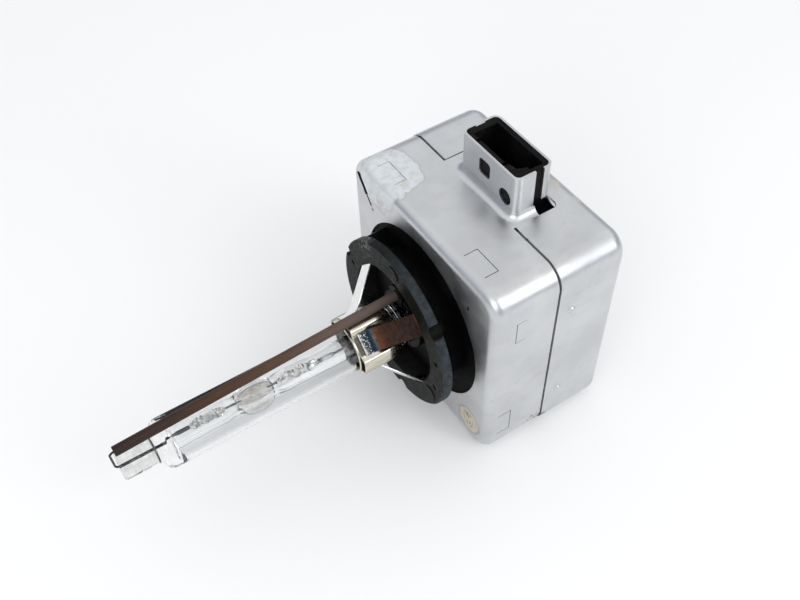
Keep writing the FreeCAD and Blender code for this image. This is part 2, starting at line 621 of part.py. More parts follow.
def hv_contact():
    """Brass socket on the axis that takes the bulb's rear lead, with a tail down to the coil."""
    socket = rod_y(1.6, HOUSING_Y[0] + HOUSING_FRONT - 0.2, CONTACT_END_Y)
    tail = box((-0.5, 0.5), (CONTACT_END_Y - 1, 16.6), (-1.7, -1.2))
    body = socket.fuse(tail)
    return cut_all(body, [rod_y(LEAD_R, 0, 10), rod_x(WINDING_R, -3, 3, COIL_Y, COIL_Z)]).removeSplitter()


def return_contact():
    """Brass tab that takes the return wire and runs back to the carrier board."""
    x, z = TUBE_BACK.x, TUBE_BACK.z
    block = box((x - 1.1, x + 1.1), (HOUSING_Y[0] + HOUSING_FRONT, 10.6), (z - 1.0, z + 1.0))
    strap = box((x - 1.1, x + 1.1), (10.0, BOARD_Y[0]), (z + 0.5, z + 1.0))
    return fuse_all([block, strap]).cut(rod_y(WIRE_R, 0, 9.6, x, z))


def lead(y0, y1):
    return rod_y(LEAD_R, y0, y1)


def nodes():
    made = {
        "front_shield": front_shield(),
        "rear_shield": rear_shield(),
        "base_ring": base_ring(),
        "igniter_housing": igniter_housing(),
        "housing_lid": housing_lid(),
        "connector_header": connector_header(),
        "outer_bulb": outer_bulb(),
        "arc_tube": arc_tube(),
        "foil_rear": foil(REAR_FOIL_Y),
        "foil_front": foil(FRONT_FOIL_Y),
        "electrode_rear": electrode(REAR_FOIL_Y[1], 1),
        "electrode_front": electrode(FRONT_FOIL_Y[0], -1),
        "lead_rear": lead(10.0, REAR_FOIL_Y[0]),
        "lead_front": lead(FRONT_FOIL_Y[1], LEAD_FRONT_END_Y),
        "return_wire": return_wire(),
        "ceramic_tube": ceramic_tube(),
        "clamp_sleeve": clamp_sleeve(),
        "ferrite_core": ferrite_core(),
        "coil_bobbin": coil_bobbin(),
        "secondary_winding": secondary_winding(),
        "primary_winding": primary_winding(),
        "spark_gap": spark_gap(),
        "capacitor": capacitor(),
        "bleeder_resistor": bleeder_resistor(),
        "carrier_board": carrier_board(),
        "hv_contact": hv_contact(),
        "return_contact": return_contact(),
    }
    for name, angle in LEG_ANGLES.items():
        made["leg_" + name] = support_leg(angle)
    for name, x in zip(("left", "middle", "right"), PIN_X):
        made["pin_" + name] = contact_pin(x)
    return made


os.makedirs("parts", exist_ok=True)
for node, shape in nodes().items():
    shape.exportStep(os.path.join("parts", node + ".step"))
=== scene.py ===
import json
import math

import bmesh
import bpy
from mathutils import Matrix, Vector


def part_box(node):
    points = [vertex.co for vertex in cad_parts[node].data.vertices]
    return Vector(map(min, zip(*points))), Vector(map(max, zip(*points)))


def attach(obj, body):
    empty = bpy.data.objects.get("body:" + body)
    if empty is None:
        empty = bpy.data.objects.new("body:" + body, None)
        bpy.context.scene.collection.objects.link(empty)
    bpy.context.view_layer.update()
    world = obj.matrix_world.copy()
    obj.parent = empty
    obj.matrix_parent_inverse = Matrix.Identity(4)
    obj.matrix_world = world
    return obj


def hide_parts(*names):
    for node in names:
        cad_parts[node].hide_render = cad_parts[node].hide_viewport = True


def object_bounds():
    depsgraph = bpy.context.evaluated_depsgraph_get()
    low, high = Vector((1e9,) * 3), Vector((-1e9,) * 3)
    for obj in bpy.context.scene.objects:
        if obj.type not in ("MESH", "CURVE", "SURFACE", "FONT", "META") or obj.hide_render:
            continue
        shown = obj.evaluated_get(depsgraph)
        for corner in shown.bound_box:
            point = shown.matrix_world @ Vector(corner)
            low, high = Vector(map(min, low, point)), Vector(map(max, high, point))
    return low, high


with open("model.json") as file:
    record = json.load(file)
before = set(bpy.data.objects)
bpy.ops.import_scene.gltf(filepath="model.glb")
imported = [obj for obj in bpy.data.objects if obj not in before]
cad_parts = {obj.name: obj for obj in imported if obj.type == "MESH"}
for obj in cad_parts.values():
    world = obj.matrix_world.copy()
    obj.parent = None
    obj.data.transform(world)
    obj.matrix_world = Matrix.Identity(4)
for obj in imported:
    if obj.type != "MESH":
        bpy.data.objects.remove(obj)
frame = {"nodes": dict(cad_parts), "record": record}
cad_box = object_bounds()
MM = 0.001


# ---------------------------------------------------------------- node helpers

class Surface:
    """A procedural material: every length in it is in millimetres of the part's own frame."""

    def __init__(self, name):
        self.material = bpy.data.materials.new(name)
        self.material.use_nodes = True
        self.tree = self.material.node_tree
        self.shader = self.tree.nodes["Principled BSDF"]
        coords = self.node("ShaderNodeTexCoord")
        scale = self.node("ShaderNodeVectorMath", operation="MULTIPLY")
        scale.inputs[1].default_value = (1000, 1000, 1000)
        self.link(coords.outputs["Object"], scale.inputs[0])
        self.place = scale.outputs[0]

    def node(self, kind, **settings):
        made = self.tree.nodes.new(kind)
        for key, value in settings.items():
            setattr(made, key, value)
        return made

    def link(self, source, target):
        self.tree.links.new(source, target)

    def feed(self, socket, value):
        """Sets a socket from a number, a colour or another node's output."""
        if isinstance(value, bpy.types.NodeSocket):
            self.link(value, socket)
        elif isinstance(value, tuple) and len(value) == 3 and socket.type == "RGBA":
            socket.default_value = (*value, 1.0)
        else:
            socket.default_value = value

    def set(self, **values):
        for key, value in values.items():
            self.feed(self.shader.inputs[key.replace("_", " ")], value)

    def noise(self, scale, detail=3.0, rough=0.55, stretch=(1, 1, 1), shift=(0, 0, 0)):
        mapping = self.node("ShaderNodeMapping")
        mapping.inputs["Scale"].default_value = stretch
        mapping.inputs["Location"].default_value = shift
        self.link(self.place, mapping.inputs["Vector"])
        made = self.node("ShaderNodeTexNoise")
        self.link(mapping.outputs[0], made.inputs["Vector"])
        made.inputs["Scale"].default_value = scale
        made.inputs["Detail"].default_value = detail
        made.inputs["Roughness"].default_value = rough
        return made.outputs["Fac"]

    def ramp(self, value, low, high, out_low=0.0, out_high=1.0):
        made = self.node("ShaderNodeMapRange", interpolation_type="SMOOTHSTEP")
        self.feed(made.inputs["Value"], value)
        made.inputs["From Min"].default_value = low
        made.inputs["From Max"].default_value = high
        made.inputs["To Min"].default_value = out_low
        made.inputs["To Max"].default_value = out_high
        return made.outputs["Result"]

    def math(self, operation, a, b=0.0):
        made = self.node("ShaderNodeMath", operation=operation)
        self.feed(made.inputs[0], a)
        self.feed(made.inputs[1], b)
        return made.outputs[0]

    def mix(self, factor, a, b):
        made = self.node("ShaderNodeMix", data_type="RGBA")
        self.feed(made.inputs["Factor"], factor)
        self.feed(made.inputs[6], a)
        self.feed(made.inputs[7], b)
        return made.outputs[2]

    def bump(self, height, strength, distance, before=None):
        made = self.node("ShaderNodeBump")
        made.inputs["Strength"].default_value = strength
        made.inputs["Distance"].default_value = distance * MM
        self.feed(made.inputs["Height"], height)
        if before:
            self.link(before, made.inputs["Normal"])
        return made.outputs[0]

    def spot(self, centre, radius, soft=0.6, ragged=0.0, scale=1.0, squash=(1, 1, 1)):
        """1 inside a blot of that radius about a point, 0 outside; ragged pushes its edge in and out."""
        offset = self.node("ShaderNodeVectorMath", operation="SUBTRACT")
        self.link(self.place, offset.inputs[0])
        offset.inputs[1].default_value = centre
        squeeze = self.node("ShaderNodeVectorMath", operation="MULTIPLY")
        self.link(offset.outputs[0], squeeze.inputs[0])
        squeeze.inputs[1].default_value = squash
        length = self.node("ShaderNodeVectorMath", operation="LENGTH")
        self.link(squeeze.outputs[0], length.inputs[0])
        distance = length.outputs["Value"]
        if ragged:
            centred = self.math("SUBTRACT", self.noise(scale, 4.0, 0.65), 0.5)
            wobble = self.math("MULTIPLY", centred, ragged * 2)
            distance = self.math("ADD", distance, wobble)
        return self.ramp(distance, radius * (1 - soft), radius, 1.0, 0.0)

    def stroke(self, start, slope, length, half):
        """1 within half of a straight line in the X-Z plane from start, sloping down by slope degrees."""
        x = self.math("SUBTRACT", self.axis("X"), start[0])
        z = self.math("SUBTRACT", self.axis("Z"), start[1])
        c, d = math.cos(math.radians(slope)), math.sin(math.radians(slope))
        along = self.math("SUBTRACT", self.math("MULTIPLY", x, c), self.math("MULTIPLY", z, d))
        across = self.math("ADD", self.math("MULTIPLY", x, d), self.math("MULTIPLY", z, c))
        across = self.math("ABSOLUTE", across)
        ends = self.math("MULTIPLY", self.ramp(along, -0.06, 0.0), self.ramp(along, length + 0.06, length))
        return self.math("MULTIPLY", ends, self.ramp(across, half + 0.05, half))

    def axis(self, letter):
        made = self.node("ShaderNodeSeparateXYZ")
        self.link(self.place, made.inputs[0])
        return made.outputs[letter]

    def from_axis(self):
        """Distance from the bulb's axis."""
        x, z = self.axis("X"), self.axis("Z")
        squares = self.math("ADD", self.math("MULTIPLY", x, x), self.math("MULTIPLY", z, z))
        return self.math("SQRT", squares)

    def most(self, values):
        total = values[0]
        for value in values[1:]:
            total = self.math("MAXIMUM", total, value)
        return total


# ---------------------------------------------------------------- materials

SLIT_START = (-18.8, 18.6)
SLIT_SLOPE = 53.3
SLIT_WIDE = (4.2, 0.53)
SLIT_NARROW = (6.2, 0.23)
WORN_CORNER = (-13.6, 8.2, 20.6)
WORN_SQUASH = (1.0, 1.25, 1.0)
STAIN = (15.8, 6, -15.6)
DENT_SHADE = (13.9, 5.8, 14.3)
SLEEVE_MOUTH_SHADE = (3.34, -8.3, 3.34)


def sheet_steel(name):
    """Satin plated sheet with cloudy wear, a bare patch at one corner, a few stains and specks of rust, and
    painted shade in a small dent and along a slit.
    """
    s = Surface(name)
    cloud = s.noise(0.10, 4.0, 0.55, shift=(3, 8, 2))
    smear = s.noise(0.45, 5.0, 0.6, stretch=(1.0, 0.5, 1.4), shift=(11, 2, 5))
    scuff = s.noise(1.3, 6.0, 0.72, shift=(4, 6, 9))
    colour = s.mix(s.ramp(cloud, 0.3, 0.7), (0.57, 0.58, 0.595), (0.65, 0.66, 0.67))
    colour = s.mix(s.ramp(smear, 0.5, 0.78, 0, 0.45), colour, (0.50, 0.48, 0.45))
    colour = s.mix(s.ramp(scuff, 0.60, 0.72, 0, 0.35), colour, (0.42, 0.42, 0.42))

    worn = s.spot(WORN_CORNER, 7.0, 0.07, 2.6, 0.22, squash=WORN_SQUASH)
    worn_edge = s.spot(WORN_CORNER, 7.35, 0.07, 2.6, 0.22, squash=WORN_SQUASH)
    worn_edge = s.math("SUBTRACT", worn_edge, worn)
    worn_cloud = s.ramp(s.noise(0.8, 6.0, 0.7, shift=(5, 5, 5)), 0.42, 0.66)
    worn_tone = s.mix(worn_cloud, (0.74, 0.77, 0.80), (0.62, 0.63, 0.63))
    colour = s.mix(s.math("MULTIPLY", worn, 0.85), colour, worn_tone)
    colour = s.mix(s.math("MULTIPLY", worn_edge, 0.35), colour, (0.42, 0.37, 0.32))

    stains = s.most([
        s.spot((-9.6, 9.5, 20.9), 1.3, 0.8, 1.0, 0.8),
        s.spot((-12.0, 5.8, 16.4), 1.6, 0.8, 1.4, 0.9),
        s.spot((-6.2, 26.5, 21), 1.5, 0.8, 1.0, 0.9),
        s.spot((4.5, 29.5, 21), 1.9, 0.8, 1.2, 0.9),
        s.spot((9.5, 30.5, 20.5), 1.4, 0.8, 1.2, 0.9),
    ])
    colour = s.mix(s.math("MULTIPLY", stains, 0.32), colour, (0.44, 0.34, 0.25))
    cream = s.spot(STAIN, 3.0, 0.12, 0.7, 0.8)
    border = s.math("SUBTRACT", s.spot(STAIN, 3.5, 0.2, 0.7, 0.8), cream)
    colour = s.mix(s.math("MULTIPLY", cream, 0.8), colour, (0.60, 0.53, 0.41))
    colour = s.mix(s.math("MULTIPLY", border, 0.55), colour, (0.26, 0.17, 0.11))
    specks = s.ramp(s.noise(1.5, 5.0, 0.7, shift=(7, 1, 3)), 0.53, 0.58)
    rust = s.most([
        s.math("MULTIPLY", specks, s.spot((15.8, 6, -15.4), 2.6, 0.5)),
        s.math("MULTIPLY", specks, s.spot((21.2, 16.9, -18.4), 3.4, 0.6)),
        s.spot((-15.0, 5.8, 13.8), 0.6, 0.7, 0.7, 1.6),
        s.spot((-18.3, 5.8, 18.3), 0.7, 0.7, 0.8, 1.6),
        s.spot((21.2, 18.3, -18.9), 1.9, 0.5, 1.2, 1.0),
        s.spot((12.0, 18.2, 21.0), 0.35, 0.7, 0.4, 2.6),
        s.spot((-14.6, 5.8, 12.9), 0.5, 0.7, 0.6, 1.8),
    ])
    colour = s.mix(s.math("MULTIPLY", rust, 0.85), colour, (0.10, 0.045, 0.025))
    # Painted shade: a small dark blue-black blot stands in for the shade inside a dent in the front face.
    dent_shade = s.spot(DENT_SHADE, 0.5, 0.35, 0.12, 2.6, squash=(1.5, 1.0, 0.85))
    colour = s.mix(s.math("MULTIPLY", dent_shade, 0.92), colour, (0.012, 0.015, 0.026))
    shade = s.most([s.stroke(SLIT_START, SLIT_SLOPE, *part) for part in (SLIT_WIDE, SLIT_NARROW)])
    shade = s.math("MULTIPLY", shade, s.ramp(s.axis("Y"), 9.0, 8.0))
    colour = s.mix(s.math("MULTIPLY", shade, 0.97), colour, (0.003, 0.003, 0.003))
    dull = s.most([stains, rust, cream, shade, s.math("MULTIPLY", worn, 0.55)])

    rough = s.ramp(s.noise(0.25, 4.0, 0.6, shift=(1, 5, 9)), 0.3, 0.75, 0.33, 0.43)
    rough = s.math("ADD", rough, s.math("MULTIPLY", dull, 0.18))
    wave = s.bump(s.noise(0.09, 2.0, 0.5, shift=(4, 4, 1)), 0.5, 0.45)
    edge = s.bump(worn, 0.35, 0.05, wave)
    fine = s.bump(s.noise(9.0, 4.0, 0.6), 0.12, 0.02, edge)
    s.set(Base_Color=colour, Metallic=s.ramp(dull, 0.0, 1.0, 1.0, 0.25), Roughness=rough, Normal=fine)
    return s.material


def moulded(name, base, pale, wear=0.35, rough=(0.42, 0.62), bump=0.05, gloss=0.13):
    """Moulded plastic with cloudy dust that gathers in patches."""
    s = Surface(name)
    dust = s.noise(0.7, 6.0, 0.68, shift=(2, 7, 1))
    patches = s.noise(0.22, 4.0, 0.6, shift=(9, 1, 4))
    colour = s.mix(s.ramp(patches, 0.35, 0.7), base, tuple(min(1.0, c * 1.7 + 0.003) for c in base))
    colour = s.mix(s.ramp(dust, 0.52, 0.78, 0, wear), colour, pale)
    roughness = s.ramp(s.noise(1.6, 5.0, 0.6), 0.3, 0.7, rough[0], rough[1])
    normal = s.bump(s.noise(3.2, 6.0, 0.65), 0.35, bump)
    s.set(Base_Color=colour, Roughness=roughness, Normal=normal, Specular_IOR_Level=gloss)
    return s.material


def ring_moulding(name):
    """Black moulding: a dark funnel; painted shade, near black, on the neck and everything deeper than about
    3 mm; a bluish sheen on the rim, partly wear and partly a painted highlight, strongest on its upper right;
    pale rub marks on its edges.
    """
    s = Surface(name)
    y = s.axis("Y")
    radius = s.from_axis()
    scuff = s.noise(0.9, 6.0, 0.7, shift=(2, 7, 1))
    patches = s.noise(0.25, 4.0, 0.6, shift=(9, 1, 4))
    colour = s.mix(s.ramp(patches, 0.35, 0.7), (0.003, 0.0033, 0.0028), (0.0085, 0.0095, 0.0080))
    # Painted sheen: the rim is worn a little lighter all round, and a bluish painted highlight on it grows
    # towards the upper right, where the light falls.
    towards = s.math("ADD", s.math("MULTIPLY", s.axis("X"), 0.87), s.math("MULTIPLY", s.axis("Z"), 0.50))
    lit_upper_right = s.ramp(s.math("DIVIDE", towards, radius), 0.30, 0.95)
    rim = s.math("MULTIPLY", s.ramp(radius, 15.3, 15.9), s.ramp(y, 2.9, 2.4))
    worn = s.math("MULTIPLY", rim, s.math("ADD", s.math("MULTIPLY", lit_upper_right, 0.75), 0.15))
    worn = s.math("MULTIPLY", worn, s.ramp(scuff, 0.36, 0.66, 0.45, 1.0))
    colour = s.mix(worn, colour, (0.050, 0.061, 0.071))
    flakes = s.ramp(s.noise(1.7, 5.0), 0.5, 0.62)
    chalk = s.math("MULTIPLY", s.spot((-8.5, 0.2, 13.2), 3.6, 0.9, 2.4, 0.5), flakes)
    colour = s.mix(s.math("MULTIPLY", chalk, 0.8), colour, (0.22, 0.22, 0.21))
    rubbed = s.spot((2.0, 0.0, 11.6), 3.0, 0.8, 1.6, 0.6)
    rubbed = s.math("MULTIPLY", rubbed, s.ramp(s.noise(2.4, 5.0, 0.7, shift=(6, 2, 8)), 0.52, 0.62))
    colour = s.mix(s.math("MULTIPLY", rubbed, 0.6), colour, (0.16, 0.15, 0.13))
    # Painted shade: everything deeper than about 3 mm, the neck behind the rim, is turned near black.
    colour = s.mix(s.ramp(y, 2.9, 3.4), colour, (0.0012, 0.0012, 0.0012))
    roughness = s.ramp(s.noise(1.6, 5.0, 0.6), 0.3, 0.7, 0.34, 0.52)
    s.set(Base_Color=colour, Roughness=roughness, Specular_IOR_Level=0.06)
    s.set(Normal=s.bump(s.noise(1.1, 6.0, 0.6), 0.4, 0.12))
    return s.material


def plain_metal(name, base, dark, rough=(0.2, 0.35), stretch=(1, 1, 1), bump=0.02):
    s = Surface(name)
    streak = s.noise(1.4, 5.0, 0.6, stretch=stretch)
    colour = s.mix(s.ramp(streak, 0.38, 0.75), base, dark)
    roughness = s.ramp(s.noise(1.1, 4.0, 0.6, shift=(3, 3, 3)), 0.3, 0.7, rough[0], rough[1])
    normal = s.bump(s.noise(3.0, 3.0, 0.5, stretch=stretch), 0.25, bump)
    s.set(Base_Color=colour, Roughness=roughness, Normal=normal, Metallic=1.0)
    return s.material


def sleeve_metal(name):
    """Pale gold nickel sheet, with painted shade, near black, on the flat under the tinted leg just behind
    the front rim, where the sleeve's open mouth lies in shade.
    """
    s = Surface(name)
    streak = s.noise(1.4, 5.0, 0.6, stretch=(1, 0.25, 1))
    colour = s.mix(s.ramp(streak, 0.38, 0.75), (0.70, 0.665, 0.56), (0.50, 0.465, 0.375))
    # Painted shade: a near-black blot behind the rim stands in for the shaded open mouth of the sleeve.
    behind_rim = s.ramp(s.axis("Y"), -9.02, -8.85)
    mouth_shade = s.math("MULTIPLY", s.spot(SLEEVE_MOUTH_SHADE, 2.2, 0.25, 0.3, 1.2), behind_rim)
    colour = s.mix(s.math("MULTIPLY", mouth_shade, 0.95), colour, (0.018, 0.017, 0.014))
    roughness = s.ramp(s.noise(1.1, 4.0, 0.6, shift=(3, 3, 3)), 0.3, 0.7, 0.17, 0.28)
    normal = s.bump(s.noise(3.0, 3.0, 0.5, stretch=(1, 0.25, 1)), 0.25, 0.01)
    s.set(Base_Color=colour, Roughness=roughness, Normal=normal, Metallic=1.0)
    return s.material


def quartz(name, clear, streaked, streaks=0.5, rough=0.015, waves=0.02):
    """Drawn quartz: faint grey lines run along the bulb's axis."""
    s = Surface(name)
    line = s.noise(1.1, 4.0, 0.6, stretch=(1, 0.02, 1), shift=(3, 1, 7))
    haze = s.noise(0.5, 5.0, 0.65, stretch=(1, 0.35, 1))
    colour = s.mix(s.ramp(line, 0.46, 0.66, 0, streaks), clear, streaked)
    colour = s.mix(s.ramp(haze, 0.5, 0.8, 0, 0.5), colour, streaked)
    roughness = s.ramp(haze, 0.5, 0.8, rough, rough + 0.05)
    ripple = s.bump(s.noise(0.8, 3.0, 0.5, stretch=(1, 0.12, 1)), 0.5, waves)
    s.set(Base_Color=colour, Roughness=roughness, Normal=ripple)
    s.set(Transmission_Weight=1.0, IOR=1.46)
    return s, colour, roughness


def jacket_quartz(name):
    """Jacket: one long grey band of painted reflection beside the clear wall, and a smoky drawn tail."""
    s, colour, roughness = quartz(name, (0.975, 0.98, 0.985), (0.82, 0.83, 0.84), 0.6)
    # Painted reflection: a grey band at one fixed angle round the axis, along the jacket between the clamp
    # and the front shoulder.
    across = s.math("ADD", s.math("MULTIPLY", s.axis("X"), 0.966), s.math("MULTIPLY", s.axis("Z"), 0.259))
    turn = s.math("DIVIDE", across, s.from_axis())
    uneven = s.math("MULTIPLY", s.math("SUBTRACT", s.noise(0.35, 3.0, stretch=(1, 0.1, 1)), 0.5), 0.03)
    painted_reflection_band = s.ramp(s.math("ADD", turn, uneven), 0.965, 0.985)
    reach = s.math("MULTIPLY", s.ramp(s.axis("Y"), -9.2, -10.4), s.ramp(s.axis("Y"), -43.0, -42.0))
    painted_reflection_band = s.math("MULTIPLY", painted_reflection_band, reach)
    colour = s.mix(s.math("MULTIPLY", painted_reflection_band, 0.85), colour, (0.70, 0.71, 0.72))
    tail = s.ramp(s.axis("Y"), -44.2, -45.0)
    smoky = s.mix(s.ramp(s.noise(0.9, 5.0, 0.6), 0.38, 0.62), (0.87, 0.88, 0.86), (0.70, 0.71, 0.69))
    roughness = s.math("ADD", roughness, s.math("MULTIPLY", tail, 0.05))
    s.set(Base_Color=s.mix(tail, colour, smoky), Roughness=roughness)
    return s.material


def arc_quartz(name):
    """Arc tube: a thin grey-brown film round the discharge chamber."""
    s, colour, roughness = quartz(name, (0.96, 0.965, 0.96), (0.80, 0.81, 0.80), 0.7, 0.03, 0.004)
    film = s.spot((0, -27.1, 0), 3.9, 0.35, 0.7, 0.8)
    blot = s.ramp(s.noise(1.1, 4.0, 0.6, shift=(1, 4, 2)), 0.4, 0.65, 0.25, 1.0)
    film = s.math("MULTIPLY", film, blot)
    colour = s.mix(film, colour, (0.62, 0.58, 0.53))
    s.set(Base_Color=colour, Roughness=s.math("ADD", roughness, s.math("MULTIPLY", film, 0.08)))
    return s.material


def banded(name, stops, rough=(0.26, 0.42), wobble=1.0, metallic=0.95, bump=0.02, flecks=None):
    """Surface whose colour changes along the bulb's axis: stops are (y in mm, colour); flecks of bare metal
    show between two places along it."""
    s = Surface(name)
    low, high = stops[0][0], stops[-1][0]
    stray = s.math("MULTIPLY", s.math("SUBTRACT", s.noise(0.9, 3.0), 0.5), wobble)
    place = s.math("DIVIDE", s.math("SUBTRACT", s.math("ADD", s.axis("Y"), stray), low), high - low)
    ramp = s.node("ShaderNodeValToRGB")
    s.link(place, ramp.inputs[0])
    while len(ramp.color_ramp.elements) < len(stops):
        ramp.color_ramp.elements.new(0.5)
    for element, (y, colour) in zip(ramp.color_ramp.elements, stops):
        element.position = (y - low) / (high - low)
        element.color = (*colour, 1)
    streak = s.ramp(s.noise(1.4, 5.0, 0.6, stretch=(1, 0.3, 1)), 0.35, 0.75, 0.0, 0.35)
    dull = s.node("ShaderNodeHueSaturation")
    dull.inputs["Saturation"].default_value = 0.6
    dull.inputs["Value"].default_value = 0.55
    s.link(ramp.outputs[0], dull.inputs["Color"])
    colour = s.mix(streak, ramp.outputs[0], dull.outputs[0])
    if flecks:
        within = s.math("MULTIPLY", s.ramp(s.axis("Y"), flecks[0], flecks[0] + 0.3),
                        s.ramp(s.axis("Y"), flecks[1], flecks[1] - 0.3))
        bare = s.math("MULTIPLY", within, s.ramp(s.noise(3.6, 5.0, 0.7, shift=(8, 3, 3)), 0.56, 0.62))
        colour = s.mix(bare, colour, (0.62, 0.64, 0.64))
    s.set(Base_Color=colour, Roughness=s.ramp(s.noise(1.5, 4.0), 0.3, 0.7, rough[0], rough[1]))
    s.set(Normal=s.bump(s.noise(5.0, 4.0), 0.2, bump), Metallic=metallic, Specular_IOR_Level=0.2)
    return s.material


def speckled(name, base, dark, pale, rough=0.5, scale=2.5):
    s = Surface(name)
    patch = s.noise(scale * 0.25, 4.0, 0.6)
    speck = s.noise(scale * 2.6, 3.0, 0.7)
    colour = s.mix(s.ramp(patch, 0.35, 0.7), base, dark)
    colour = s.mix(s.ramp(speck, 0.6, 0.8, 0, 0.5), colour, pale)
    s.set(Base_Color=colour, Roughness=s.ramp(speck, 0.3, 0.8, rough - 0.08, rough + 0.1))
    s.set(Normal=s.bump(s.noise(scale * 1.5, 4.0, 0.6), 0.3, 0.03))
    return s.material


def wound(name, base, dark, pitch):
    """Fine wire laid side by side round the X axis."""
    s = Surface(name)
    turns = s.math("SINE", s.math("MULTIPLY", s.axis("X"), 2 * math.pi / pitch))
    colour = s.mix(s.ramp(turns, -0.9, 0.6), dark, base)
    colour = s.mix(s.ramp(s.noise(0.6, 4.0), 0.4, 0.75, 0, 0.5), colour, dark)
    s.set(Base_Color=colour, Roughness=s.ramp(s.noise(1.2), 0.3, 0.7, 0.3, 0.45))
    s.set(Normal=s.bump(turns, 0.6, 0.05), Metallic=0.8)
    return s.material


LEG_TINTS = [(-8.1, (0.40, 0.41, 0.40)), (-7.7, (0.06, 0.065, 0.07)), (-7.1, (0.012, 0.018, 0.024)),
             (-6.2, (0.018, 0.034, 0.046)), (-5.7, (0.045, 0.042, 0.045)), (-5.1, (0.19, 0.072, 0.030)),
             (-4.3, (0.080, 0.040, 0.028)), (-1.5, (0.056, 0.032, 0.026)), (0.8, (0.030, 0.018, 0.014))]
LEAD_TINTS = [(-44.6, (0.05, 0.055, 0.065)), (-41.6, (0.02, 0.022, 0.035)), (-38.8, (0.012, 0.014, 0.028)),
              (-15.4, (0.02, 0.022, 0.04)), (-14.6, (0.03, 0.03, 0.05)), (-14.2, (0.75, 0.76, 0.76)),
              (-12.5, (0.70, 0.71, 0.72)), (-12.2, (0.04, 0.04, 0.06)), (6.0, (0.03, 0.03, 0.04))]
TUBE_TINTS = [(-50.6, (0.028, 0.016, 0.013)), (-42.0, (0.038, 0.020, 0.013)), (-32.0, (0.066, 0.032, 0.016)),
              (-20.0, (0.088, 0.050, 0.031)), (-8.0, (0.130, 0.092, 0.078)), (3.6, (0.160, 0.125, 0.112))]

LOOKS = {
    "shield_steel": sheet_steel("shield_steel"),
    "ring_plastic": ring_moulding("ring_plastic"),
    "housing_plastic": moulded("housing_plastic", (0.0013, 0.0013, 0.0014), (0.010, 0.010, 0.010),
                               0.1, (0.45, 0.65), 0.05, 0.04),
    "header_plastic": moulded("header_plastic", (0.0018, 0.0018, 0.002), (0.06, 0.06, 0.058),
                              0.2, (0.35, 0.55), 0.05, 0.08),
    "contact_metal": plain_metal("contact_metal", (0.80, 0.80, 0.78), (0.55, 0.54, 0.50)),
    "jacket_quartz": jacket_quartz("jacket_quartz"),
    "arc_quartz": arc_quartz("arc_quartz"),
    "foil_metal": plain_metal("foil_metal", (0.99, 0.985, 0.97), (0.78, 0.76, 0.74), (0.28, 0.5)),
    "electrode_metal": plain_metal("electrode_metal", (0.16, 0.16, 0.17), (0.05, 0.05, 0.06), (0.35, 0.5)),
    "lead_metal": banded("lead_metal", LEAD_TINTS, (0.3, 0.45), 0.3),
    "wire_metal": plain_metal("wire_metal", (0.050, 0.048, 0.045), (0.02, 0.018, 0.016),
                              (0.35, 0.5), (1, 0.3, 1)),
    "tube_ceramic": banded("tube_ceramic", TUBE_TINTS, (0.5, 0.62), 4.0, 0.0, 0.04),
    "clamp_metal": sleeve_metal("clamp_metal"),
    "leg_metal": plain_metal("leg_metal", (0.90, 0.90, 0.90), (0.74, 0.74, 0.74), (0.16, 0.3), (1, 0.4, 1)),
    "leg_metal_tinted": banded("leg_metal_tinted", LEG_TINTS, (0.2, 0.36), flecks=(-7.9, -6.4)),
    "ferrite": speckled("ferrite", (0.045, 0.045, 0.05), (0.03, 0.03, 0.033), (0.09, 0.09, 0.09), 0.55),
    "bobbin_plastic": moulded("bobbin_plastic", (0.55, 0.51, 0.40), (0.7, 0.67, 0.58), 0.3),
    "winding_copper": wound("winding_copper", (0.62, 0.26, 0.11), (0.22, 0.07, 0.03), 0.35),
    "gap_ceramic": speckled("gap_ceramic", (0.72, 0.70, 0.66), (0.58, 0.56, 0.52), (0.8, 0.8, 0.78), 0.3),
    "capacitor_case": speckled("capacitor_case", (0.50, 0.29, 0.05), (0.38, 0.21, 0.04),
                               (0.6, 0.4, 0.15), 0.25),
    "resistor_body": speckled("resistor_body", (0.26, 0.33, 0.24), (0.18, 0.25, 0.18),
                              (0.4, 0.45, 0.38), 0.35),
    "board": speckled("board", (0.02, 0.10, 0.045), (0.015, 0.07, 0.03), (0.06, 0.16, 0.09), 0.35),
    "contact_brass": plain_metal("contact_brass", (0.70, 0.50, 0.22), (0.45, 0.30, 0.12)),
}
SLOT_OF = {part["node"]: part["material_slot"] for part in frame["record"]["subparts"]}
for node, obj in frame["nodes"].items():
    obj.data.materials.clear()
    obj.data.materials.append(LOOKS[SLOT_OF[node]])


# ---------------------------------------------------------------- mesh helpers

def span(node):
    """Low and high corner of a CAD node in millimetres."""
    low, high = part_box(node)
    return Vector(low) / MM, Vector(high) / MM


def add_piece(name, bm, nodes, smooth=35, turn_normals=True):
    """Turns a bmesh in millimetres into a piece that replaces the named CAD nodes."""
    if turn_normals:
        bmesh.ops.recalc_face_normals(bm, faces=bm.faces)
    mesh = bpy.data.meshes.new(name)
    bm.to_mesh(mesh)
    bm.free()
    obj = bpy.data.objects.new(name, mesh)
    bpy.context.scene.collection.objects.link(obj)
    for vertex in mesh.vertices:
        vertex.co *= MM
    slot = SLOT_OF[nodes[0]]
    mesh.materials.append(LOOKS[slot])
    finish_edges(obj, smooth)
    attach(obj, "root")
    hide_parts(*nodes)
    return obj


def finish_edges(obj, smooth):
    for face in obj.data.polygons:
        face.use_smooth = True
    obj.data.set_sharp_from_angle(angle=math.radians(smooth))


def settle(obj, smooth=35):
    """Bakes the modifiers into the mesh and sets its smooth shading again."""
    graph = bpy.context.evaluated_depsgraph_get()
    obj.data = bpy.data.meshes.new_from_object(obj.evaluated_get(graph))
    obj.modifiers.clear()
    finish_edges(obj, smooth)


